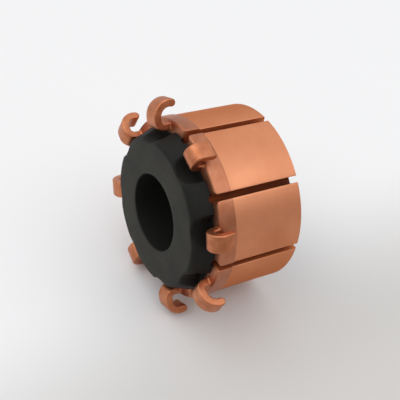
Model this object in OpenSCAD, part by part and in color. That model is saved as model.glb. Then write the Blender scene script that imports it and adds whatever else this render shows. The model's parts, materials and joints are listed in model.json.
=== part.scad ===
// Small hook-type commutator: a moulded hub that carries a ring of copper segments. Each segment is
// a bar with a wire hook bent up from its front end and a dovetail foot locked in the moulding.
// It is drawn as it lies on a table, on two hooks and the rim of its brush end. The origin is on
// the bore's axis at the hub's front face, and the hook end faces -Y.

/* [Bars] */
// Number of bars round the hub
bar_count = 8; // [6:1:10]
// Diameter of the turned brush track
track_d = 18.6; // [17.4:0.1:22]
// Length of the track, from the brush end to the shoulder
track_length = 7.75; // [5:0.05:9]
// Length of a bar between its two ends
bar_length = 9.5; // [9.1:0.1:14]
// Thickness of the copper under the track
bar_thickness = 1.2; // [0.9:0.05:1.6]
// Height of the unturned shoulder above the track
shoulder_height = 0.1; // [0.02:0.01:0.3]
// Width of the saw cut between two bars
slot_width = 0.65; // [0.4:0.05:1]
// Depth of the saw cut below the copper
slot_undercut = 0.15; // [0.05:0.05:0.5]
// Run of the saw cut past the front ends of the bars
slot_runout = 0.2; // [0.1:0.05:0.8]
// Chamfer on the rim of the brush end
rim_chamfer = 0.12; // [0.05:0.01:0.3]
// Radius on the two corners of a bar's front end
corner_r = 0.4; // [0.2:0.05:0.8]
// Radius on the outer edge of a bar's front end
front_edge_r = 0.2; // [0.05:0.05:0.4]

/* [Hooks] */
// Width of a hook
hook_width = 1.8; // [1.4:0.05:2.6]
// Thickness of a hook
hook_thickness = 0.8; // [0.6:0.05:1]
// Radius on the long edges of a hook
hook_edge_r = 0.15; // [0.05:0.01:0.25]
// Straight run of the hook ahead of the bar
hook_tongue = 0.6; // [0.3:0.05:1.2]
// Inside radius of the bend that turns the hook outwards
hook_root_r = 0.32; // [0.3:0.02:0.8]
// Straight run between the two bends
hook_leg = 0.3; // [0.05:0.05:1]
// Inside radius of the curl that holds the wire
hook_curl_r = 0.92; // [0.8:0.02:1.6]
// Angle that the curl turns through
hook_curl_angle = 104; // [102:1:150]
// Angle between the middle of a hook and the middle of its bar
hook_offset = 1.2; // [0:0.1:4]

/* [Feet] */
// Width of the dovetail foot where it leaves the bar
foot_neck = 2; // [1.4:0.1:2.6]
// Width of the foot at its inner end
foot_base = 3; // [2.7:0.1:3.6]
// Depth of the foot below the bar
foot_depth = 1.5; // [0.8:0.1:2]
// Distance of the foot from each end of the bar
foot_setback = 1.6; // [1:0.1:3]

/* [Hub] */
// Diameter of the shaft bore
bore_d = 8; // [5:0.1:9]
// Distance of the hub's front face ahead of the bars
hub_front = 2.1; // [1.6:0.1:3]
// Depth of the hub's back face inside the brush end
hub_recess = 0.1; // [0:0.05:1]
// Height of the ribs between the hooks, over the bars' inner face
rib_height = 0.4; // [0.1:0.05:0.7]
// Distance of the front face's edge inside the bars' inner face
face_inset = 0.4; // [0.1:0.05:0.8]
// Radius on the edge of the front face
face_edge_r = 0.45; // [0.2:0.05:0.6]
// Depth of the pocket round each hook, below the bars' inner face
pocket_depth = 0.85; // [0.5:0.05:1.4]
// Room between a hook and each side of its pocket
pocket_room = 0.9; // [0.6:0.02:1.2]

/* [Hidden] */
$fn = 64;
COPPER = "#c8835f";
PHENOLIC = "#35342f";
OVERLAP = 0.3; // how far joined shapes run into each other, and cutters past what they cut
TIP_INSET = 0.01; // step from a hook's faces down to its rounded end
ARC_STEPS = 6; // steps in a rounded edge that is turned about the axis
SETTLE_STEPS = 6; // passes that find the resting angle

// Bars
pitch = 360 / bar_count;
track_r = track_d / 2;
shoulder_r = track_r + shoulder_height;
inner_r = track_r - bar_thickness;
hub_length = bar_length + hub_front;

// Centre line of a hook, in the plane of the radius (r) and the axis (z)
tongue_r = (inner_r + shoulder_r) / 2;
root_bend_r = hook_root_r + hook_thickness / 2;
root_centre_r = tongue_r + root_bend_r;
root_centre_z = bar_length + hook_tongue;
leg_z = root_centre_z + root_bend_r;
curl_bend_r = hook_curl_r + hook_thickness / 2;
curl_centre_r = root_centre_r + hook_leg;
curl_centre_z = leg_z - curl_bend_r;

// Hub
rib_r = inner_r + rib_height;
face_r = inner_r - face_inset;
flank_angle = atan((rib_r - face_r) / hub_front);
face_flat_r = face_r - face_edge_r * tan((90 - flank_angle) / 2);
pocket_r = hook_width / 2 + pocket_room;
pocket_centre_r = inner_r - pocket_depth + pocket_r;

// Angle at which two hooks and the rim of the brush end touch the table together, to a hundredth of
// a degree. A hook's lowest point is on the rounded outer edge of its curl, half a pitch to the
// side of the axis.
function curl_drop(tilt) =
    (curl_bend_r + hook_thickness / 2 - hook_edge_r) * norm([cos(pitch / 2) * cos(tilt), sin(tilt)])
    + (hook_width / 2 - hook_edge_r) * sin(pitch / 2) * cos(tilt)
    + hook_edge_r;
function settled(tilt, steps) =
    steps == 0
        ? tilt
        : settled(
            atan((curl_centre_r * cos(pitch / 2) + curl_drop(tilt) / cos(tilt) - track_r)
                / (curl_centre_z - rim_chamfer)),
            steps - 1);
rest_tilt = round(100 * settled(0, SETTLE_STEPS)) / 100;

// Turn of a hook and of its bar about the axis, where -90 is straight down
function hook_angle(i) = pitch * (i - 0.5) - 90;
function bar_angle(i) = hook_angle(i) - hook_offset;
function segment_name(i) = str("segment_", i);

// Points of a round about a centre, from an angle over the radius to straight ahead
function round_corner(centre_r, centre_z, round_r, from) =
    [for (step = [0:ARC_STEPS])
        let (turn = from + (90 - from) * step / ARC_STEPS)
        [centre_r + round_r * cos(turn), centre_z + round_r * sin(turn)]];

// Lays down what is drawn about +Z with the bars' brush end at zero
module at_rest() {
    rotate([90 - rest_tilt, 0, 0]) translate([0, 0, -hub_length]) children();
}

// Cross-section of a hook, with its thickness along X and its width along Y
module hook_section(inset = 0) {
    thickness = hook_thickness - 2 * inset;
    width = hook_width - 2 * inset;
    square([thickness, width - 2 * hook_edge_r], center = true);
    square([thickness - 2 * hook_edge_r, width], center = true);
    for (x = [-1, 1], y = [-1, 1])
        translate([x * (thickness / 2 - hook_edge_r), y * (width / 2 - hook_edge_r)])
            circle(hook_edge_r);
}

// Turns XY drawing into the plane of the radius and the axis, about a point of that plane
module in_hook_plane(r, z) {
    translate([r, 0, z]) rotate([90, 0, 0]) children();
}

// Arc of a hook about a centre, from one angle through another, counted from the radius
module hook_bend(centre_r, centre_z, bend_r, from, through) {
    in_hook_plane(centre_r, centre_z)
        rotate_extrude(angle = through, start = from) translate([bend_r, 0]) hook_section();
}

// Rounded end of a hook, turned about the middle line of its width
module hook_tip() {
    in_hook_plane(curl_centre_r, curl_centre_z)
        rotate(90 - hook_curl_angle)
            translate([curl_bend_r, 0, 0])
                rotate_extrude(start = 90) intersection() {
                    hook_section(TIP_INSET);
                    translate([0, -hook_width]) square([hook_thickness, 2 * hook_width]);
                }
}

// Wire hook on +X, from inside its bar to its tip
module hook() {
    translate([tongue_r, 0, bar_length - OVERLAP])
        linear_extrude(hook_tongue + OVERLAP) hook_section();
    hook_bend(root_centre_r, root_centre_z, root_bend_r, 90, 90);
    translate([root_centre_r, 0, leg_z])
        rotate([0, 90, 0]) linear_extrude(hook_leg) hook_section();
    hook_bend(curl_centre_r, curl_centre_z, curl_bend_r, 90 - hook_curl_angle, hook_curl_angle);
    hook_tip();
}

// Dovetail foot on +X, from inside its bar to its inner end
module foot() {
    slope = (foot_base - foot_neck) / 2 / foot_depth;
    top = foot_neck / 2 - slope * OVERLAP;
    base_r = inner_r - foot_depth;
    translate([0, 0, foot_setback])
        linear_extrude(bar_length - 2 * foot_setback)
            polygon([
                [base_r, -foot_base / 2], [inner_r + OVERLAP, -top],
                [inner_r + OVERLAP, top], [base_r, foot_base / 2]
            ]);
}

// Saw cut on +X, as far as a given height
module slot(top) {
    floor_r = inner_r - slot_undercut;
    translate([floor_r, -slot_width / 2, -OVERLAP])
        cube([shoulder_r + OVERLAP - floor_r, slot_width, top + OVERLAP]);
}

// What the round takes off a bar's front corner, beside a saw cut on +X
module corner_cut() {
    translate([inner_r - OVERLAP, slot_width / 2, bar_length])
        rotate([90, 0, 90]) linear_extrude(shoulder_r - inner_r + 2 * OVERLAP) difference() {
            translate([-OVERLAP, -corner_r]) square(corner_r + OVERLAP);
            translate([corner_r, -corner_r]) circle(corner_r);
        }
}

// Bar centred on +X: a sector of the ring, cut back to the saw cuts on both sides
module bar() {
    difference() {
        rotate(-pitch / 2) rotate_extrude(angle = pitch) polygon(concat(
            [
                [inner_r, 0], [track_r - rim_chamfer, 0], [track_r, rim_chamfer],
                [track_r, track_length], [shoulder_r, track_length]
            ],
            round_corner(shoulder_r - front_edge_r, bar_length - front_edge_r, front_edge_r, 0),
            [[inner_r, bar_length]]
        ));
        for (side = [0, 1]) mirror([0, side, 0]) rotate(-pitch / 2) {
            slot(bar_length + OVERLAP);
            corner_cut();
        }
    }
}

module segment(i) {
    color(COPPER) at_rest() {
        rotate(bar_angle(i)) {
            bar();
            foot();
        }
        rotate(hook_angle(i)) hook();
    }
}

module hub() {
    color(PHENOLIC) at_rest() difference() {
        rotate_extrude() polygon(concat(
            [
                [bore_d / 2, hub_recess], [inner_r, hub_recess],
                [inner_r, bar_length], [rib_r, bar_length]
            ],
            round_corner(face_flat_r, hub_length - face_edge_r, face_edge_r, flank_angle),
            [[bore_d / 2, hub_length]]
        ));
        for (i = [1:bar_count]) {
            rotate(bar_angle(i)) foot();
            rotate(bar_angle(i) + pitch / 2) slot(bar_length + slot_runout);
            rotate(hook_angle(i)) translate([pocket_centre_r, 0, bar_length])
                cylinder(r = pocket_r, h = hub_front + OVERLAP);
        }
    }
}

hub();
for (i = [1:bar_count]) segment(i);
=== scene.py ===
"""Small hook commutator: eight copper segments in a moulded hub, their finishes and a studio stage."""

import json
import math

import bmesh
import bpy
from bpy.props import FloatProperty, FloatVectorProperty, IntProperty, PointerProperty
from mathutils import Matrix, Vector


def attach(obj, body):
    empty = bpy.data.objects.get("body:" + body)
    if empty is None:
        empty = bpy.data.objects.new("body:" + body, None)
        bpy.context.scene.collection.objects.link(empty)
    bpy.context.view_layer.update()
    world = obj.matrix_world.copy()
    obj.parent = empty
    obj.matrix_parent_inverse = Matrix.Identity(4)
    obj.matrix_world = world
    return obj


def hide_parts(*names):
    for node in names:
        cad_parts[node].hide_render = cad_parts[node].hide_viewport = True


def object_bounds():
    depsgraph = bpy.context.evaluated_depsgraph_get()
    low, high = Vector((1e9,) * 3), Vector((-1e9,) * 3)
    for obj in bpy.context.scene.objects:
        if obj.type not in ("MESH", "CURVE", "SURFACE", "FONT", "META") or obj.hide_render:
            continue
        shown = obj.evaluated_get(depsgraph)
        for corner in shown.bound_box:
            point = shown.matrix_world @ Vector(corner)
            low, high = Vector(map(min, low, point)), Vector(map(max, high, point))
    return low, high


bl_info = {
    "name": "Hook Commutator",
    "version": (1, 0, 0),
    "blender": (4, 5, 0),
    "location": "View3D > Sidebar > Commutator",
    "description": "Builds a small hook commutator, its copper and phenolic finishes and a stage for it",
    "category": "Add Mesh",
}

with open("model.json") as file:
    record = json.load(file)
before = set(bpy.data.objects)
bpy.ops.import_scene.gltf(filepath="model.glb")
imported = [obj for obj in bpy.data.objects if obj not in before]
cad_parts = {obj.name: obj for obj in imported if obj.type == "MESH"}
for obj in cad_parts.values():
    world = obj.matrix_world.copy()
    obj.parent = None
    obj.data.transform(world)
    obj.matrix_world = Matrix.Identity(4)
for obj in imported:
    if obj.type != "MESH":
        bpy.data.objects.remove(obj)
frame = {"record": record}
CAD_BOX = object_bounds()
MM = 0.001  # one millimetre, in metres
QUARTER = math.pi / 2

# The bore's mount gives the shaft's axis, towards the hook end, and the middle of the hub's front face
SHAFT_BORE = next(mount for mount in frame["record"]["mounts"] if mount["name"] == "shaft_bore")
SHAFT_AXIS = Vector(SHAFT_BORE["axis"]).normalized()
FACE_CENTRE = Vector(SHAFT_BORE["pos_m"])

ROUND_STEPS = 4  # steps in a small round edge
BAR_COLUMNS = 28  # faces across a bar's track
TRACK_ROWS = 8  # faces along a bar's track
CORNER_STEPS = 10  # steps in a bar's rounded front corner
BEND_STEPS = 12  # steps in each bend of a hook
TIP_STEPS = 6  # steps in a hook's rounded end
# Hooks that are bent a little off the rest, with their changes in mm and degrees
HOOK_SET = {
    2: {"tongue": -0.22, "curl": -8},
    3: {"tongue": -0.2, "leg": -0.25, "curl_r": -0.45, "curl": -10, "arm": 0.7, "turn": -2.4},
    4: {"tongue": -0.2, "leg": -0.25, "curl_r": -0.5, "curl": -12, "arm": 0.85, "turn": 2},
}
RIB_COLUMNS = 44  # faces across the hub between two saw cuts
WALL_ROWS = 8  # faces up the side of a pocket
FACE_ROWS = 5  # faces from the bore to the edge of the hub's front face
BACK_ROWS = 2  # faces from the bore to the edge of the hub's back face
BODY_ROWS = 3  # faces along the hub under the bars
BORE_ROWS = 4  # faces along the bore
SHARP = math.radians(40)  # edges that turn further than this keep a crease
SURE = 0.02 * MM  # the smallest step that keeps two rows of points apart
ROUND_TAKEN = 0.9  # share of an inset that comes off an edge's radius, so that its points stay apart
FLANK_FACING = 0.9  # a face that looks round the shaft by more than this is a bar's flank
END_FACING = 0.5  # a face that looks along the shaft by more than this isn't the floor of a cut

TABLE_R = 1.5  # metres
TABLE_SIDES = 96
TABLE_SHADE = (-4 * MM, 17 * MM)  # along X, where the painted shade on the table starts and ends
TABLE_FAR = (70 * MM, 250 * MM)  # from the part, where the painted shade on the table starts and ends too
DIM_WALL = (0.1, 0.7)  # share of a direction that is along X, where the walls go dim
CEILING_EDGE = (0.15, 0.75)  # share of a direction that is upwards, where the walls meet the ceiling
STUDIO_STRENGTH = 1.06
# Soft boxes: name, place in mm, size in mm and power in watts
LAMPS = (
    ("key", (-70, -100, 300), 250, 0.2),
    ("fill", (200, 120, 220), 250, 0.22),
)
SENSOR_WIDTH = 36  # of the camera, in mm


def linear(hex_colour):
    """Turns an sRGB hex colour into linear red, green and blue."""
    channels = [int(hex_colour[i:i + 2], 16) / 255 for i in (1, 3, 5)]
    return tuple(c / 12.92 if c <= 0.04045 else ((c + 0.055) / 1.055) ** 2.4 for c in channels)


class BarSizes(bpy.types.PropertyGroup):
    """Sizes of the copper bars and of the saw cuts between them."""

    count: IntProperty(name="Bars", description="Number of bars round the hub", default=8, min=3)
    track_d: FloatProperty(
        name="Track diameter", description="Over the turned brush track", default=18.6 * MM, unit="LENGTH")
    track_length: FloatProperty(
        name="Track length", description="From the brush end to the shoulder", default=7.75 * MM,
        unit="LENGTH")
    length: FloatProperty(
        name="Bar length", description="Between the two ends of a bar", default=9.5 * MM, unit="LENGTH")
    thickness: FloatProperty(
        name="Thickness", description="Of the copper under the track", default=1.2 * MM, unit="LENGTH")
    shoulder: FloatProperty(
        name="Shoulder", description="Height of the unturned band", default=0.1 * MM, unit="LENGTH")
    slot_width: FloatProperty(
        name="Saw cut", description="Width of the cut between bars", default=0.65 * MM, unit="LENGTH")
    slot_undercut: FloatProperty(
        name="Undercut", description="Depth of the cut below the copper", default=0.15 * MM, unit="LENGTH")
    slot_runout: FloatProperty(
        name="Runout", description="Run of the cut past the bars' ends", default=0.2 * MM, unit="LENGTH")
    rim_chamfer: FloatProperty(
        name="Rim chamfer", description="On the rim of the brush end", default=0.12 * MM, unit="LENGTH")
    corner_r: FloatProperty(
        name="Corner radius", description="On a bar's front corners", default=0.4 * MM, unit="LENGTH")
    front_edge_r: FloatProperty(
        name="Front edge", description="Radius on the outer edge of a bar's front end", default=0.2 * MM,
        unit="LENGTH")
    edge_r: FloatProperty(
        name="Edge radius", description="On the long edges of a bar", default=0.06 * MM, unit="LENGTH")


class HookSizes(bpy.types.PropertyGroup):
    """Sizes of the wire hooks at the bars' front ends."""

    width: FloatProperty(name="Width", description="Of a hook", default=1.8 * MM, unit="LENGTH")
    thickness: FloatProperty(name="Thickness", description="Of a hook", default=0.8 * MM, unit="LENGTH")
    edge_r: FloatProperty(
        name="Edge radius", description="On the long edges of a hook", default=0.15 * MM, unit="LENGTH")
    tongue: FloatProperty(
        name="Tongue", description="Straight run ahead of the bar", default=0.6 * MM, unit="LENGTH")
    flare: FloatProperty(
        name="Flare", description="Round between the hook and the bar", default=0.12 * MM, unit="LENGTH")
    root_r: FloatProperty(
        name="Root radius", description="Inside the bend that turns the hook out", default=0.32 * MM,
        unit="LENGTH")
    leg: FloatProperty(
        name="Leg", description="Straight run between the two bends", default=0.3 * MM, unit="LENGTH")
    curl_r: FloatProperty(
        name="Curl radius", description="Inside the curl that holds the wire", default=0.92 * MM,
        unit="LENGTH")
    curl: FloatProperty(
        name="Curl", description="Angle that the curl turns through", default=math.radians(104),
        subtype="ANGLE")
    offset: FloatProperty(
        name="Offset", description="Turn between the middle of a hook and of its bar",
        default=math.radians(1.2), subtype="ANGLE")


class FootSizes(bpy.types.PropertyGroup):
    """Sizes of the dovetail feet that lock the bars in the hub."""

    neck: FloatProperty(name="Neck", description="Width at the bar", default=2 * MM, unit="LENGTH")
    base: FloatProperty(name="Base", description="Width at the inner end", default=3 * MM, unit="LENGTH")
    depth: FloatProperty(name="Depth", description="Below the bar", default=1.5 * MM, unit="LENGTH")
    setback: FloatProperty(
        name="Setback", description="From each end of the bar", default=1.6 * MM, unit="LENGTH")


class HubSizes(bpy.types.PropertyGroup):
    """Sizes of the moulded hub."""

    bore_r: FloatProperty(
        name="Bore radius", description="Of the shaft bore", default=SHAFT_BORE["dims"]["r_mm"] * MM,
        unit="LENGTH")
    front: FloatProperty(
        name="Front", description="Of the front face ahead of the bars", default=2.1 * MM, unit="LENGTH")
    recess: FloatProperty(
        name="Recess", description="Of the back face inside the brush end", default=0.1 * MM, unit="LENGTH")
    rib_height: FloatProperty(
        name="Rib height", description="Of the ribs over the bars' inner face", default=0.4 * MM,
        unit="LENGTH")
    face_inset: FloatProperty(
        name="Face inset", description="Of the front face's edge inside the bars' inner face",
        default=0.4 * MM, unit="LENGTH")
    face_edge_r: FloatProperty(
        name="Face edge", description="Radius on the edge of the front face", default=0.45 * MM,
        unit="LENGTH")
    pocket_depth: FloatProperty(
        name="Pocket depth", description="Below the bars' inner face", default=0.85 * MM, unit="LENGTH")
    pocket_room: FloatProperty(
        name="Pocket room", description="Between a hook and each side of its pocket", default=0.9 * MM,
        unit="LENGTH")
    blend: FloatProperty(
        name="Blend", description="Size of the moulded rounds between pockets and ribs", default=0.3 * MM,
        unit="LENGTH")
    bore_edge_r: FloatProperty(
        name="Bore edge", description="Radius on the two edges of the bore", default=0.12 * MM,
        unit="LENGTH")


class FinishColours(bpy.types.PropertyGroup):
    """Colours of the copper and of the moulding."""

    turned: FloatVectorProperty(
        name="Turned copper", description="Freshly turned brush track", default=linear("#de9973"),
        subtype="COLOR", min=0, max=1)
    turned_dull: FloatVectorProperty(
        name="Dulled track", description="Duller patches of the track", default=linear("#d28c67"),
        subtype="COLOR", min=0, max=1)
    stamped: FloatVectorProperty(
        name="Stamped copper", description="Hooks", default=linear("#cc8661"), subtype="COLOR", min=0, max=1)
    stamped_dull: FloatVectorProperty(
        name="Dulled hooks", description="Oxide on the hooks", default=linear("#b06b49"),
        subtype="COLOR", min=0, max=1)
    # The band's colours are darker than the hooks': partly the oxide on unturned copper, partly painted
    # shade where the hooks hang over it
    drawn_and_shade: FloatVectorProperty(
        name="Drawn copper", description="Unturned band at the front of the bars", default=linear("#be7e60"),
        subtype="COLOR", min=0, max=1)
    drawn_dull_and_shade: FloatVectorProperty(
        name="Dulled band", description="Oxide on the unturned band", default=linear("#b07052"),
        subtype="COLOR", min=0, max=1)
    grazed: FloatVectorProperty(
        name="Grazed copper", description="Tint of copper that is seen along its face",
        default=linear("#d4a692"), subtype="COLOR", min=0, max=1)
    # The flanks' colour is partly fresh-sawn copper, partly painted light that lightens the deep, narrow
    # cuts
    sawn_and_light: FloatVectorProperty(
        name="Sawn copper", description="Flanks of the saw cuts", default=linear("#e49058"),
        subtype="COLOR", min=0, max=1)
    phenolic: FloatVectorProperty(
        name="Phenolic", description="Skin of the moulding", default=linear("#171715"),
        subtype="COLOR", min=0, max=1)
    # The filler shows only on the front face, where it also serves as painted light that pales the face
    filler: FloatVectorProperty(
        name="Filler", description="Mineral filler that shows in the skin", default=linear("#302f27"),
        subtype="COLOR", min=0, max=1)
    # Copper dust, partly real and partly painted light that lightens the floors of the deep cuts
    dust_and_light: FloatVectorProperty(
        name="Dust", description="Copper dust on the floors of the cuts", default=linear("#8c4218"),
        subtype="COLOR", min=0, max=1)


class StageLook(bpy.types.PropertyGroup):
    """Floor, light and camera."""

    floor: FloatVectorProperty(
        name="Floor", description="Pale table", default=linear("#e6e6e6"), subtype="COLOR", min=0, max=1)
    # Painted shade: the table's colour where the light falls off, on the side of +X and far from the part
    floor_painted_shade: FloatVectorProperty(
        name="Floor shade", description="Table on the side of +X and far away", default=linear("#c5c3c0"),
        subtype="COLOR", min=0, max=1)
    ceiling: FloatVectorProperty(
        name="Ceiling", description="Lit ceiling of the studio", default=linear("#fafbfd"), subtype="COLOR",
        min=0, max=1)
    walls: FloatVectorProperty(
        name="Walls", description="Walls of the studio", default=linear("#d4d5d7"), subtype="COLOR",
        min=0, max=1)
    walls_dim: FloatVectorProperty(
        name="Dim wall", description="Wall on the side of +X", default=linear("#5e3a1e"), subtype="COLOR",
        min=0, max=1)
    azimuth: FloatProperty(
        name="Azimuth", description="Of the camera, from the front towards +X", default=math.radians(59.73),
        subtype="ANGLE")
    elevation: FloatProperty(
        name="Elevation", description="Of the camera over the table", default=math.radians(43.26),
        subtype="ANGLE")
    roll: FloatProperty(
        name="Roll", description="Of the camera about its view", default=math.radians(0.52), subtype="ANGLE")
    distance: FloatProperty(
        name="Distance", description="Along the view, from the hub's front face", default=82.49 * MM,
        unit="LENGTH")
    aside: FloatProperty(
        name="Aside", description="Of the picture's middle from the front face's, to the right",
        default=4.7 * MM, unit="LENGTH")
    above: FloatProperty(
        name="Above", description="Of the picture's middle from the front face's, upwards",
        default=1.29 * MM, unit="LENGTH")
    lens: FloatProperty(name="Lens", description="Focal length", default=73.73, unit="CAMERA")


# Shared geometry, about the shaft: +Z runs along the shaft to the hook end and zero is the brush end

def inner_r(bars):
    """Radius of the bars' inner face."""
    return bars.track_d / 2 - bars.thickness


def pitch(bars):
    """Angle from one bar to the next."""
    return 2 * math.pi / bars.count


def bar_turn(bars, hooks, number):
    """Turn of a bar's middle about the shaft, from +X. The first hook is half a pitch past straight down."""
    return pitch(bars) * (number - 0.5) - QUARTER - hooks.offset


def at_rest(bars, hub):
    """Matrix that lays down on the table what is drawn about the shaft."""
    across = Vector((1, 0, 0))
    turned = Matrix((across, SHAFT_AXIS.cross(across), SHAFT_AXIS)).transposed().to_4x4()
    return Matrix.Translation(FACE_CENTRE) @ turned @ Matrix.Translation((0, 0, -bars.length - hub.front))


def polar(radius, turn, z):
    """Point at a radius, a turn about the shaft and a height along it."""
    return Vector((radius * math.cos(turn), radius * math.sin(turn), z))


def span(start, end, steps):
    """Evenly spaced values from start to end, both included."""
    return [start + (end - start) * step / steps for step in range(steps + 1)]


def loft(bm, rings, closed=False):
    """Skins rings of points that have equal counts, and returns the rings' vertices."""
    rows = [[bm.verts.new(point) for point in ring] for ring in rings]
    pairs = list(zip(rows, rows[1:])) + ([(rows[-1], rows[0])] if closed else [])
    for low, high in pairs:
        for here in range(len(low)):
            after = (here + 1) % len(low)
            bm.faces.new((low[here], low[after], high[after], high[here]))
    return rows


def mesh_from(bm, name):
    """Finishes a mesh with its faces turned outwards."""
    bmesh.ops.recalc_face_normals(bm, faces=bm.faces)
    mesh = bpy.data.meshes.new(name)
    bm.to_mesh(mesh)
    bm.free()
    return mesh


def combined(name, base, others, operation):
    """One mesh from a base mesh and others that are joined to it or cut from it."""
    carrier = bpy.data.objects.new(name, base)
    bpy.context.scene.collection.objects.link(carrier)
    helpers = []
    for other in others:
        helper = bpy.data.objects.new(name + "_tool", other)
        bpy.context.scene.collection.objects.link(helper)
        step = carrier.modifiers.new("Combine", "BOOLEAN")
        step.operation = operation
        step.solver = "EXACT"
        step.object = helper
        helpers.append(helper)
    result = bpy.data.meshes.new_from_object(carrier.evaluated_get(bpy.context.evaluated_depsgraph_get()))
    result.name = name
    for used in [carrier, *helpers]:
        mesh = used.data
        bpy.data.objects.remove(used)
        bpy.data.meshes.remove(mesh)
    return result


def place(name, mesh, materials, lying, node, slot):
    """Shows a mesh in place of a solid, laid down, with smooth faces and the creases that the form has."""
    mesh.transform(lying)
    piece = bpy.data.objects.new(name, mesh)
    bpy.context.scene.collection.objects.link(piece)
    for material in materials:
        mesh.materials.append(material)
    mesh.polygons.foreach_set("use_smooth", [True] * len(mesh.polygons))
    mesh.set_sharp_from_angle(angle=SHARP)
    flats = piece.modifiers.new("Even flats", "WEIGHTED_NORMAL")
    flats.keep_sharp = True
    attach(piece, "root")
    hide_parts(node)


# Copper segments

def bar_ring(bars, z, outer, inset, side_inset):
    """Outline of a bar's section at a height, drawn in from all its faces by an inset.

    The points run along the track, down one flank, back along the inner face and up the other flank.
    """
    inner = inner_r(bars) + inset
    outer -= inset
    edge = bars.edge_r - inset * ROUND_TAKEN

    def flank_turn(radius, depth):
        return pitch(bars) / 2 - math.asin((bars.slot_width / 2 + side_inset + inset + depth) / radius)

    flank = []
    for turn in span(0, QUARTER, ROUND_STEPS):
        radius = outer - edge + edge * math.cos(turn)
        flank.append((radius, flank_turn(radius, edge - edge * math.sin(turn))))
    for turn in span(0, QUARTER, ROUND_STEPS):
        radius = inner + edge - edge * math.sin(turn)
        flank.append((radius, flank_turn(radius, edge - edge * math.cos(turn))))
    track = [(outer, turn) for turn in span(-flank[0][1], flank[0][1], BAR_COLUMNS)]
    inside = [(inner, turn) for turn in span(flank[-1][1], -flank[-1][1], BAR_COLUMNS)]
    far_flank = [(radius, -turn) for radius, turn in reversed(flank)]
    return [polar(radius, turn, z) for radius, turn in track + flank[1:-1] + inside + far_flank[1:-1]]


def bar_stations(bars):
    """Heights at which a bar's section is drawn, each with its outer radius, inset and side inset."""
    edge = bars.edge_r
    track_r = bars.track_d / 2
    stations = []
    for turn in span(0, QUARTER, ROUND_STEPS):
        z = edge - edge * math.cos(turn)
        stations.append((z, track_r - bars.rim_chamfer + z, edge - edge * math.sin(turn), 0))
    stations.append((bars.rim_chamfer, track_r, 0, 0))
    for z in span(bars.rim_chamfer, bars.track_length - bars.shoulder, TRACK_ROWS)[1:]:
        stations.append((z, track_r, 0, 0))
    # Rows close to the step, on both sides of it, keep the track and the band even in the light
    outer = track_r + bars.shoulder
    stations.append((bars.track_length, track_r, 0, 0))
    stations.append((bars.track_length + SURE, outer - SURE, 0, 0))
    stations.append((bars.track_length + 3 * SURE, outer, 0, 0))
    stations.append((bars.track_length + bars.shoulder, outer, 0, 0))

    def rounded_by(radius, z):
        past = max(z - bars.length + radius, 0)
        return radius - math.sqrt(max(radius ** 2 - past ** 2, 0))

    for turn in span(0, QUARTER, CORNER_STEPS):
        z = bars.length - bars.corner_r + bars.corner_r * math.sin(turn)
        inset = rounded_by(edge, z)
        front_r = outer - rounded_by(bars.front_edge_r, z) + inset
        stations.append((z, front_r, inset, bars.corner_r - bars.corner_r * math.cos(turn)))
    return stations


def bar_mesh(bars):
    """Bar with its middle on +X: a curved slab with a turned track and an unturned band at its front."""
    bm = bmesh.new()
    rows = loft(bm, [bar_ring(bars, *station) for station in bar_stations(bars)])
    flank_points = 2 * (ROUND_STEPS + 1) - 2
    inside_start = BAR_COLUMNS + 1 + flank_points
    for row in (rows[0], rows[-1]):
        track = row[:BAR_COLUMNS + 1]
        inside = row[inside_start:inside_start + BAR_COLUMNS + 1][::-1]
        for here in range(BAR_COLUMNS):
            bm.faces.new((track[here], track[here + 1], inside[here + 1], inside[here]))
        bm.faces.new([track[-1], *row[BAR_COLUMNS + 1:inside_start], inside[-1]])
        bm.faces.new([inside[0], *row[inside_start + BAR_COLUMNS + 1:], track[0]])
    return mesh_from(bm, "bar")


def sunk(bars):
    """How far a foot or a hook runs into its bar, so that the two join."""
    return bars.thickness / 4


def foot_mesh(bars, foot):
    """Dovetail foot on +X, from inside its bar to its inner end."""
    slope = (foot.base - foot.neck) / 2 / foot.depth
    top = inner_r(bars) + sunk(bars)
    base = inner_r(bars) - foot.depth
    half_top = foot.neck / 2 - slope * sunk(bars)
    outline = [(base, -foot.base / 2), (top, -half_top), (top, half_top), (base, foot.base / 2)]
    ends = (foot.setback, bars.length - foot.setback)
    bm = bmesh.new()
    rows = loft(bm, [[(x, y, z) for x, y in outline] for z in ends])
    for row in rows:
        bm.faces.new(row)
    return mesh_from(bm, "foot")


def hook_section(hooks, grown):
    """Outline of a hook's section: its thickness along X and its width along Y, with round edges."""
    radius = hooks.edge_r + grown
    points = []
    for corner, (side_x, side_y) in enumerate(((1, 1), (-1, 1), (-1, -1), (1, -1))):
        for turn in span(corner * QUARTER, (corner + 1) * QUARTER, 2 * ROUND_STEPS):
            points.append((
                side_x * (hooks.thickness / 2 - hooks.edge_r) + radius * math.cos(turn),
                side_y * (hooks.width / 2 - hooks.edge_r) + radius * math.sin(turn)))
    return points


def hook_change(number, what):
    """How far one hook is off the rest, in metres or radians."""
    change = HOOK_SET.get(number, {}).get(what, 0)
    return math.radians(change) if what in ("curl", "turn") else change * MM


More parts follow.
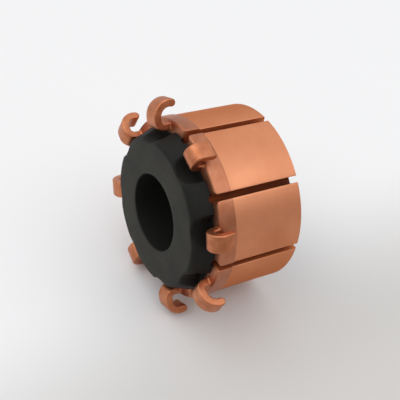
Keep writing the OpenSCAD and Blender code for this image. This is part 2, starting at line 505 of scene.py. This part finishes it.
def hook_line(bars, hooks, number):
    """Centre line of a hook as points of radius, height, heading and growth of the section.

    A heading of zero goes straight outwards and a quarter turn goes straight to the front.
    """
    tongue_r = (inner_r(bars) + bars.track_d / 2 + bars.shoulder) / 2
    half = hooks.thickness / 2
    line = [(tongue_r, bars.length - sunk(bars), QUARTER, hooks.flare)]
    for turn in span(0, QUARTER, ROUND_STEPS):
        z = bars.length + hooks.flare * math.sin(turn)
        line.append((tongue_r, z, QUARTER, hooks.flare * (1 - math.sin(turn))))
    radius, z, heading = tongue_r, bars.length + hooks.tongue + hook_change(number, "tongue"), QUARTER
    bends = (
        (hooks.root_r + half, QUARTER, hooks.leg + hook_change(number, "leg")),
        (hooks.curl_r + hook_change(number, "curl_r") + half, hooks.curl + hook_change(number, "curl"),
         hook_change(number, "arm")))
    line.append((radius, z, heading, 0))
    for bend_r, through, run in bends:
        for turn in span(heading, heading - through, BEND_STEPS)[1:]:
            line.append((
                radius + bend_r * (math.sin(heading) - math.sin(turn)),
                z + bend_r * (math.cos(turn) - math.cos(heading)), turn, 0))
        radius, z, heading, _ = line[-1]
        if run:
            radius += run * math.cos(heading)
            z += run * math.sin(heading)
            line.append((radius, z, heading, 0))
    return line


def hook_mesh(bars, hooks, number):
    """Wire hook on +X, from inside its bar to its rounded tip."""
    def point(station, x, y, ahead=0):
        radius, z, heading, _ = station
        return Vector((
            radius + ahead * math.cos(heading) - x * math.sin(heading), y,
            z + ahead * math.sin(heading) + x * math.cos(heading)))

    line = hook_line(bars, hooks, number)
    rings = [[point(station, x, y) for x, y in hook_section(hooks, station[3])] for station in line]
    for turn in span(0, QUARTER, TIP_STEPS)[1:]:
        rings.append([
            point(line[-1], x * math.cos(turn), y, abs(x) * math.sin(turn))
            for x, y in hook_section(hooks, 0)])
    bm = bmesh.new()
    rows = loft(bm, rings)
    bm.faces.new(rows[0])
    bmesh.ops.remove_doubles(bm, verts=rows[-1], dist=SURE / 10)
    return mesh_from(bm, "hook")


def finish_by_face(mesh, bars):
    """Gives each face of a segment on +X its finish: a turned track, stamped hook, drawn skin with painted
    shade or sawn flank with painted light.

    The finishes are in the order of the segment's materials.
    """
    turned, stamped, drawn_and_shade, sawn_and_light = range(4)
    track_r = bars.track_d / 2
    for face in mesh.polygons:
        centre = face.center
        outwards = Vector((centre.x, centre.y, 0)).normalized()
        around = Vector((-outwards.y, outwards.x, 0))
        radius = outwards.dot(centre)
        if centre.z > bars.length + SURE or radius > track_r + bars.shoulder + SURE:
            face.material_index = stamped
        elif abs(face.normal.dot(around)) > FLANK_FACING:
            face.material_index = sawn_and_light
        elif centre.z < bars.track_length + SURE and radius > track_r - bars.rim_chamfer:
            face.material_index = turned
        else:
            face.material_index = drawn_and_shade


class COMMUTATOR_OT_segments(bpy.types.Operator):
    """Build the copper segments: bars with their hooks and dovetail feet"""

    bl_idname = "commutator.segments"
    bl_label = "Copper Segments"
    bl_options = {"REGISTER", "UNDO"}

    def execute(self, context):
        scene = context.scene
        bars, hooks = scene.commutator_bars, scene.commutator_hooks
        colours = scene.commutator_colours
        lying = at_rest(bars, scene.commutator_hub)
        copper = [
            turned_copper(colours, lying),
            stamped_copper("stamped_copper", colours.stamped, colours.stamped_dull, lying),
            # The band's material holds painted shade from the hooks over it, as well as its oxide
            stamped_copper("drawn_copper_and_shade", colours.drawn_and_shade, colours.drawn_dull_and_shade, lying),
            sawn_copper(colours, lying)]
        for number in range(1, bars.count + 1):
            hook = hook_mesh(bars, hooks, number)
            hook.transform(Matrix.Rotation(hooks.offset + hook_change(number, "turn"), 4, "Z"))
            foot = foot_mesh(bars, scene.commutator_feet)
            segment = combined("segment", bar_mesh(bars), [foot, hook], "UNION")
            finish_by_face(segment, bars)
            segment.transform(Matrix.Rotation(bar_turn(bars, hooks, number), 4, "Z"))
            name = f"segment_{number}"
            place(f"copper_{name}", segment, copper, lying, name, "copper")
        return {"FINISHED"}


# Moulded hub

def smooth_least(a, b, blend):
    """The lesser of two values, rounded where they are about equal."""
    near = max(blend - abs(a - b), 0) / blend
    return min(a, b) - near * near * blend / 4


def hub_columns(bars):
    """Turns across one bar's share of the hub, from the middle of a saw cut to the next, with cut flags."""
    half = pitch(bars) / 2
    half_cut = math.asin(bars.slot_width / 2 / inner_r(bars))
    cut_edge = half - half_cut
    wall_foot = cut_edge + half_cut / 20  # the walls of a cut lean a little, which keeps their points apart
    ribs = [(turn, False) for turn in span(-cut_edge, cut_edge, RIB_COLUMNS)]
    return [(-half, True), (-wall_foot, True), *ribs, (wall_foot, True)]


def hub_profile(bars, hooks, hub, turn, in_cut):
    """Points of radius and height round the hub's section at a turn from the middle of a bar."""
    inner = inner_r(bars)
    length = bars.length + hub.front
    pocket_r = hooks.width / 2 + hub.pocket_room
    pocket_centre = inner - hub.pocket_depth + pocket_r
    aside = pocket_centre * math.sin(turn - hooks.offset)
    rib_r, face_r = inner + hub.rib_height, inner - hub.face_inset
    floor_r = (inner - bars.slot_undercut) / math.cos(pitch(bars) / 2 - abs(turn))

    def wall_r(z):
        flank = rib_r + (face_r - rib_r) * (z - bars.length) / hub.front
        if abs(aside) >= pocket_r:
            return flank
        pocket = pocket_centre * math.cos(turn - hooks.offset) - math.sqrt(pocket_r ** 2 - aside ** 2)
        return smooth_least(flank, pocket, hub.blend)

    body_r = floor_r if in_cut else inner
    # The front face's edge is round on the ribs, and nearly sharp at the bottom of a pocket
    above_pocket = wall_r(length) - inner + hub.pocket_depth
    ribbed = min(max(above_pocket / (hub.pocket_depth - hub.face_inset), 0), 1)
    edge = hub.bore_edge_r + (hub.face_edge_r - hub.bore_edge_r) * ribbed
    cut_end = bars.length + bars.slot_runout
    bore_edge = hub.bore_r + hub.bore_edge_r
    profile = [(radius, hub.recess) for radius in span(bore_edge, body_r, BACK_ROWS)]
    profile += [(body_r, z) for z in span(hub.recess, bars.length, BODY_ROWS)[1:]]
    profile.append((floor_r if in_cut else wall_r(bars.length), bars.length + SURE))
    profile.append((floor_r if in_cut else wall_r(cut_end), cut_end))
    for z in span(cut_end + SURE, length - edge, WALL_ROWS):
        profile.append((wall_r(z), z))
    for lean in span(0, QUARTER, 2 * ROUND_STEPS)[1:]:
        z = length - edge + edge * math.sin(lean)
        profile.append((wall_r(z) - edge + edge * math.cos(lean), z))
    profile += [(radius, length) for radius in span(profile[-1][0], bore_edge, FACE_ROWS)[1:]]
    for lean in span(0, QUARTER, ROUND_STEPS)[1:]:
        round_in = hub.bore_edge_r * (1 - math.sin(lean))
        profile.append((hub.bore_r + round_in, length - hub.bore_edge_r * (1 - math.cos(lean))))
    profile += [(hub.bore_r, z) for z in span(profile[-1][1], hub.recess + hub.bore_edge_r, BORE_ROWS)[1:]]
    for lean in span(QUARTER, 0, ROUND_STEPS)[1:-1]:
        round_in = hub.bore_edge_r * (1 - math.sin(lean))
        profile.append((hub.bore_r + round_in, hub.recess + hub.bore_edge_r * (1 - math.cos(lean))))
    return profile


def hub_mesh(bars, hooks, hub):
    """Moulded hub with its pockets, ribs and saw cuts, skinned from one profile at each turn."""
    columns = []
    for number in range(1, bars.count + 1):
        for turn, in_cut in hub_columns(bars):
            place_turn = bar_turn(bars, hooks, number) + turn
            profile = hub_profile(bars, hooks, hub, turn, in_cut)
            columns.append([polar(radius, place_turn, z) for radius, z in profile])
    bm = bmesh.new()
    loft(bm, columns, closed=True)
    return mesh_from(bm, "hub")


def finish_cuts(mesh, bars, hooks):
    """Gives the floors and walls of the saw cuts their own finish."""
    inner = inner_r(bars)
    cut_end = bars.length + bars.slot_runout
    first_cut = bar_turn(bars, hooks, 1) + pitch(bars) / 2
    for face in mesh.polygons:
        x, y, z = face.center
        radius = math.hypot(x, y)
        cuts_past = (math.atan2(y, x) - first_cut) / pitch(bars)
        aside = radius * abs(math.sin(pitch(bars) * (cuts_past - round(cuts_past))))
        in_cut = aside < bars.slot_width / 2 + SURE and z < cut_end + SURE
        below_bars = inner - 2 * bars.slot_undercut < radius < inner - SURE
        face.material_index = 1 if in_cut and below_bars and abs(face.normal.z) < END_FACING else 0


class COMMUTATOR_OT_hub(bpy.types.Operator):
    """Build the moulded hub with its pockets, saw cuts and dovetail sockets"""

    bl_idname = "commutator.hub"
    bl_label = "Moulded Hub"
    bl_options = {"REGISTER", "UNDO"}

    def execute(self, context):
        scene = context.scene
        bars, hooks, hub = scene.commutator_bars, scene.commutator_hooks, scene.commutator_hub
        sockets = []
        for number in range(1, bars.count + 1):
            socket = foot_mesh(bars, scene.commutator_feet)
            socket.transform(Matrix.Rotation(bar_turn(bars, hooks, number), 4, "Z"))
            sockets.append(socket)
        moulding = combined("hub", hub_mesh(bars, hooks, hub), sockets, "DIFFERENCE")
        finish_cuts(moulding, bars, hooks)
        lying = at_rest(bars, hub)
        colours = scene.commutator_colours
        face_z = bars.length + hub.front
        finishes = [moulded_phenolic(colours, face_z, lying), sawn_phenolic(colours, lying)]
        place("moulded_hub", moulding, finishes, lying, "hub", "phenolic")
        return {"FINISHED"}


# Finishes

def add(tree, kind, inputs=None, **settings):
    """Adds a node with its settings, and sets or links its inputs."""
    node = tree.nodes.new(kind)
    for name, value in settings.items():
        setattr(node, name, value)
    for name, value in (inputs or {}).items():
        socket = node.inputs[name]
        if isinstance(value, bpy.types.NodeSocket):
            tree.links.new(value, socket)
        else:
            socket.default_value = value
    return node


def new_material(name):
    """An empty node material and its tree."""
    material = bpy.data.materials.new(name)
    material.use_nodes = True
    material.node_tree.nodes.clear()
    return material, material.node_tree


def rgba(colour):
    """A colour property as a socket's four values."""
    return (*colour, 1.0)


def per_metre(size_mm):
    """Scale at which one cell of a noise texture is about as wide as a size in millimetres."""
    return 1 / (size_mm * MM)


def shaft_space(tree, lying):
    """Places on the surface, measured about the shaft and along it from the brush end."""
    where = add(tree, "ShaderNodeTexCoord").outputs["Object"]
    return add(
        tree, "ShaderNodeMapping",
        {"Vector": where, "Location": lying.to_translation(), "Rotation": lying.to_euler()},
        vector_type="TEXTURE").outputs["Vector"]


def turned_copper(colours, lying):
    """Turned electrolytic copper, cut by a fine lathe tool: satin, with faint rings round the track."""
    material, tree = new_material("turned_copper")
    where = shaft_space(tree, lying)
    along = add(tree, "ShaderNodeSeparateXYZ", {"Vector": where}).outputs["Z"]
    # A fine feed leaves rings about 0.05 mm apart. They are drawn at 0.2 mm, so that they show.
    rings = add(
        tree, "ShaderNodeTexNoise",
        {"W": along, "Scale": per_metre(0.2), "Detail": 3.0, "Roughness": 0.7},
        noise_dimensions="1D").outputs["Fac"]
    # Handling dulls the copper in soft patches a few millimetres wide.
    patches = add(
        tree, "ShaderNodeTexNoise",
        {"Vector": where, "Scale": per_metre(4.0), "Detail": 3.0, "Roughness": 0.5}).outputs["Fac"]
    mottle = add(tree, "ShaderNodeMath", {0: rings, 1: 0.2, 2: patches}, operation="MULTIPLY_ADD").outputs[0]
    share = add(
        tree, "ShaderNodeMapRange",
        {"Value": mottle, "From Min": 0.4, "From Max": 0.85}).outputs["Result"]
    colour = add(
        tree, "ShaderNodeMix",
        {"Factor": share, "A": rgba(colours.turned), "B": rgba(colours.turned_dull)},
        data_type="RGBA").outputs["Result"]
    roughness = add(
        tree, "ShaderNodeMapRange",
        {"Value": mottle, "From Min": 0.4, "From Max": 0.9, "To Min": 0.46, "To Max": 0.58}
    ).outputs["Result"]
    dents = add(
        tree, "ShaderNodeBump",
        {"Height": rings, "Strength": 0.08, "Distance": 0.02 * MM}).outputs["Normal"]
    shader = add(
        tree, "ShaderNodeBsdfPrincipled",
        {"Base Color": colour, "Metallic": 1.0, "Roughness": roughness, "Normal": dents,
         "Specular Tint": rgba(colours.grazed)})
    add(tree, "ShaderNodeOutputMaterial", {"Surface": shader.outputs["BSDF"]})
    return material


def stamped_copper(name, bright, dull, lying):
    """Stamped and tumbled copper with a thin brown oxide: a soft grain, duller in patches. On the band its
    colours also hold painted shade.
    """
    material, tree = new_material(name)
    where = shaft_space(tree, lying)
    patches = add(
        tree, "ShaderNodeTexNoise",
        {"Vector": where, "Scale": per_metre(1.2), "Detail": 4.0, "Roughness": 0.55}).outputs["Fac"]
    # Tumbling leaves a grain of about 0.05 mm. It is drawn at 0.15 mm, so that it shows.
    grain = add(
        tree, "ShaderNodeTexNoise",
        {"Vector": where, "Scale": per_metre(0.15), "Detail": 3.0, "Roughness": 0.6}).outputs["Fac"]
    share = add(
        tree, "ShaderNodeMapRange",
        {"Value": patches, "From Min": 0.35, "From Max": 0.7}).outputs["Result"]
    colour = add(
        tree, "ShaderNodeMix", {"Factor": share, "A": rgba(bright), "B": rgba(dull)},
        data_type="RGBA").outputs["Result"]
    roughness = add(
        tree, "ShaderNodeMapRange",
        {"Value": grain, "From Min": 0.3, "From Max": 0.7, "To Min": 0.36, "To Max": 0.5}
    ).outputs["Result"]
    dents = add(
        tree, "ShaderNodeBump",
        {"Height": grain, "Strength": 0.15, "Distance": 0.03 * MM}).outputs["Normal"]
    shader = add(
        tree, "ShaderNodeBsdfPrincipled",
        {"Base Color": colour, "Metallic": 1.0, "Roughness": roughness, "Normal": dents})
    add(tree, "ShaderNodeOutputMaterial", {"Surface": shader.outputs["BSDF"]})
    return material


def sawn_scores(tree, lying):
    """Height of the scores that a saw leaves along the shaft, about 0.1 mm apart, from stretched noise."""
    stretched = add(
        tree, "ShaderNodeMapping",
        {"Vector": shaft_space(tree, lying), "Scale": (1.0, 1.0, 0.05)}).outputs["Vector"]
    return add(
        tree, "ShaderNodeTexNoise",
        {"Vector": stretched, "Scale": per_metre(0.1), "Detail": 2.0}).outputs["Fac"]


def sawn_copper(colours, lying):
    """Sawn copper: rough flanks of the cuts, scored along the shaft and browned, made paler with painted
    light in the deep cuts.
    """
    material, tree = new_material("sawn_copper")
    scores = sawn_scores(tree, lying)
    colour = add(
        tree, "ShaderNodeMix",
        {"Factor": scores, "A": rgba(colours.sawn_and_light), "B": rgba(colours.stamped_dull)},
        data_type="RGBA").outputs["Result"]
    dents = add(
        tree, "ShaderNodeBump",
        {"Height": scores, "Strength": 0.3, "Distance": 0.03 * MM}).outputs["Normal"]
    shader = add(
        tree, "ShaderNodeBsdfPrincipled",
        {"Base Color": colour, "Metallic": 1.0, "Roughness": 0.6, "Normal": dents})
    add(tree, "ShaderNodeOutputMaterial", {"Surface": shader.outputs["BSDF"]})
    return material


def sawn_phenolic(colours, lying):
    """Sawn phenolic with copper dust in it: the brown, dull floors of the cuts, made paler with painted
    light.
    """
    material, tree = new_material("sawn_phenolic")
    scores = sawn_scores(tree, lying)
    colour = add(
        tree, "ShaderNodeMix",
        {"Factor": scores, "A": rgba(colours.phenolic), "B": rgba(colours.dust_and_light)},
        data_type="RGBA").outputs["Result"]
    dents = add(
        tree, "ShaderNodeBump",
        {"Height": scores, "Strength": 0.3, "Distance": 0.03 * MM}).outputs["Normal"]
    shader = add(
        tree, "ShaderNodeBsdfPrincipled",
        {"Base Color": colour, "Roughness": 0.85, "Specular IOR Level": 0.2, "Normal": dents})
    add(tree, "ShaderNodeOutputMaterial", {"Surface": shader.outputs["BSDF"]})
    return material


def moulded_phenolic(colours, face_z, lying):
    """Compression-moulded phenolic with a mineral filler: near black and matt, with painted light that makes
    its front face paler than its flanks.
    """
    material, tree = new_material("moulded_phenolic")
    where = shaft_space(tree, lying)
    along = add(tree, "ShaderNodeSeparateXYZ", {"Vector": where}).outputs["Z"]
    # Painted light: the filler's flecks show only on the front face, over the last 0.1 mm, so that the lit
    # face is paler than the shaded flanks.
    painted_light_face = add(
        tree, "ShaderNodeMapRange",
        {"Value": along, "From Min": face_z - 0.1 * MM, "From Max": face_z}).outputs["Result"]
    # Filler shows as flecks of about 0.1 mm. They are drawn at 0.25 mm, so that they show.
    flecks = add(
        tree, "ShaderNodeTexNoise",
        {"Vector": where, "Scale": per_metre(0.25), "Detail": 4.0, "Roughness": 0.7}).outputs["Fac"]
    clouds = add(
        tree, "ShaderNodeTexNoise",
        {"Vector": where, "Scale": per_metre(3.0), "Detail": 2.0}).outputs["Fac"]
    mottle = add(tree, "ShaderNodeMath", {0: flecks, 1: 0.6, 2: clouds}, operation="MULTIPLY_ADD").outputs[0]
    showing = add(
        tree, "ShaderNodeMapRange",
        {"Value": mottle, "From Min": 0.3, "From Max": 1.1}).outputs["Result"]
    share = add(tree, "ShaderNodeMath", {0: showing, 1: painted_light_face}, operation="MULTIPLY").outputs[0]
    colour = add(
        tree, "ShaderNodeMix",
        {"Factor": share, "A": rgba(colours.phenolic), "B": rgba(colours.filler)},
        data_type="RGBA").outputs["Result"]
    roughness = add(
        tree, "ShaderNodeMapRange",
        {"Value": flecks, "From Min": 0.3, "From Max": 0.7, "To Min": 0.5, "To Max": 0.66}
    ).outputs["Result"]
    dents = add(
        tree, "ShaderNodeBump",
        {"Height": flecks, "Strength": 0.12, "Distance": 0.04 * MM}).outputs["Normal"]
    shader = add(
        tree, "ShaderNodeBsdfPrincipled",
        {"Base Color": colour, "Roughness": roughness, "Specular IOR Level": 0.18, "Normal": dents})
    add(tree, "ShaderNodeOutputMaterial", {"Surface": shader.outputs["BSDF"]})
    return material


# Stage

def pale_table(look):
    """Matt laminate, pale and plain, with painted shade that greys it a little on the side of +X and far
    from the part.
    """
    material, tree = new_material("pale_table")
    where = add(tree, "ShaderNodeTexCoord").outputs["Object"]
    aside = add(tree, "ShaderNodeSeparateXYZ", {"Vector": where}).outputs["X"]
    distance = add(tree, "ShaderNodeVectorMath", {0: where}, operation="LENGTH").outputs["Value"]
    shaded = add(
        tree, "ShaderNodeMapRange",
        {"Value": aside, "From Min": TABLE_SHADE[0], "From Max": TABLE_SHADE[1]},
        interpolation_type="SMOOTHSTEP")
    far = add(
        tree, "ShaderNodeMapRange",
        {"Value": distance, "From Min": TABLE_FAR[0], "From Max": TABLE_FAR[1]},
        interpolation_type="SMOOTHSTEP")
    share = add(
        tree, "ShaderNodeMath", {0: shaded.outputs["Result"], 1: far.outputs["Result"]},
        operation="MAXIMUM").outputs[0]
    colour = add(
        tree, "ShaderNodeMix",
        {"Factor": share, "A": rgba(look.floor), "B": rgba(look.floor_painted_shade)},
        data_type="RGBA").outputs["Result"]
    shader = add(tree, "ShaderNodeBsdfPrincipled", {"Base Color": colour, "Roughness": 0.7})
    add(tree, "ShaderNodeOutputMaterial", {"Surface": shader.outputs["BSDF"]})
    return material


def make_floor(look):
    """Round table top under the lowest point of the part."""
    bm = bmesh.new()
    bmesh.ops.create_circle(bm, cap_ends=True, segments=TABLE_SIDES, radius=TABLE_R)
    mesh = mesh_from(bm, "floor")
    mesh.materials.append(pale_table(look))
    floor = bpy.data.objects.new("floor", mesh)
    bpy.context.scene.collection.objects.link(floor)
    floor.location.z = CAD_BOX[0].z


def make_lamp(name, place_mm, size_mm, power):
    """Square soft box at a place, aimed at the part."""
    lamp = bpy.data.lights.new(name, "AREA")
    lamp.size = size_mm * MM
    lamp.energy = power
    holder = bpy.data.objects.new(name, lamp)
    bpy.context.scene.collection.objects.link(holder)
    holder.location = [along * MM for along in place_mm]
    holder.rotation_mode = "QUATERNION"
    holder.rotation_quaternion = (-holder.location).to_track_quat("-Z", "Y")


def make_world(look):
    """Studio round the table: a white ceiling over pale walls, which are dim and warm on the side of +X."""
    world = bpy.data.worlds.new("studio")
    world.use_nodes = True
    tree = world.node_tree
    tree.nodes.clear()
    direction = add(tree, "ShaderNodeTexCoord").outputs["Generated"]
    parts = add(tree, "ShaderNodeSeparateXYZ", {"Vector": direction})
    dim = add(
        tree, "ShaderNodeMapRange",
        {"Value": parts.outputs["X"], "From Min": DIM_WALL[0], "From Max": DIM_WALL[1]},
        interpolation_type="SMOOTHSTEP")
    walls = add(
        tree, "ShaderNodeMix",
        {"Factor": dim.outputs["Result"], "A": rgba(look.walls), "B": rgba(look.walls_dim)},
        data_type="RGBA").outputs["Result"]
    overhead = add(
        tree, "ShaderNodeMapRange",
        {"Value": parts.outputs["Z"], "From Min": CEILING_EDGE[0], "From Max": CEILING_EDGE[1]},
        interpolation_type="SMOOTHSTEP")
    colour = add(
        tree, "ShaderNodeMix",
        {"Factor": overhead.outputs["Result"], "A": walls, "B": rgba(look.ceiling)},
        data_type="RGBA").outputs["Result"]
    light = add(tree, "ShaderNodeBackground", {"Color": colour, "Strength": STUDIO_STRENGTH})
    add(tree, "ShaderNodeOutputWorld", {"Surface": light.outputs["Background"]})
    bpy.context.scene.world = world


def make_camera(look):
    """Camera at the picture's view of the front face."""
    back = Vector((
        math.sin(look.azimuth) * math.cos(look.elevation),
        -math.cos(look.azimuth) * math.cos(look.elevation),
        math.sin(look.elevation)))
    turned = (-back).to_track_quat("-Z", "Y").to_matrix() @ Matrix.Rotation(look.roll, 3, "Z")
    camera = bpy.data.cameras.new("camera")
    camera.lens = look.lens
    camera.sensor_width = SENSOR_WIDTH
    camera.clip_start = MM
    holder = bpy.data.objects.new("camera", camera)
    bpy.context.scene.collection.objects.link(holder)
    place = FACE_CENTRE + turned @ Vector((look.aside, look.above, look.distance))
    holder.matrix_world = Matrix.Translation(place) @ turned.to_4x4()
    bpy.context.scene.camera = holder


class COMMUTATOR_OT_stage(bpy.types.Operator):
    """Set the table, the soft light and the camera"""

    bl_idname = "commutator.stage"
    bl_label = "Stage"
    bl_options = {"REGISTER", "UNDO"}

    def execute(self, context):
        look = context.scene.commutator_stage
        make_floor(look)
        make_world(look)
        for lamp in LAMPS:
            make_lamp(*lamp)
        make_camera(look)
        context.scene.view_settings.view_transform = "Standard"
        return {"FINISHED"}


class VIEW3D_PT_commutator(bpy.types.Panel):
    """Sidebar panel with the commutator's pieces and their sizes"""

    bl_label = "Commutator"
    bl_space_type = "VIEW_3D"
    bl_region_type = "UI"
    bl_category = "Commutator"

    def draw(self, context):
        for operator, settings in PANEL_ROWS:
            if operator:
                self.layout.operator(operator)
            group = getattr(context.scene, settings)
            for name in group.__annotations__:
                self.layout.prop(group, name)


PANEL_ROWS = (
    ("commutator.segments", "commutator_bars"),
    (None, "commutator_hooks"),
    (None, "commutator_feet"),
    ("commutator.hub", "commutator_hub"),
    (None, "commutator_colours"),
    ("commutator.stage", "commutator_stage"),
)
SETTINGS = {
    "commutator_bars": BarSizes,
    "commutator_hooks": HookSizes,
    "commutator_feet": FootSizes,
    "commutator_hub": HubSizes,
    "commutator_colours": FinishColours,
    "commutator_stage": StageLook,
}
CLASSES = (
    *SETTINGS.values(), COMMUTATOR_OT_segments, COMMUTATOR_OT_hub, COMMUTATOR_OT_stage, VIEW3D_PT_commutator)


def register():
    for cls in CLASSES:
        bpy.utils.register_class(cls)
    for name, group in SETTINGS.items():
        setattr(bpy.types.Scene, name, PointerProperty(type=group))


def unregister():
    for name in SETTINGS:
        delattr(bpy.types.Scene, name)
    for cls in reversed(CLASSES):
        bpy.utils.unregister_class(cls)


def main():
    register()
    bpy.ops.commutator.segments()
    bpy.ops.commutator.hub()
    bpy.ops.commutator.stage()


if __name__ == "__main__":
    main()
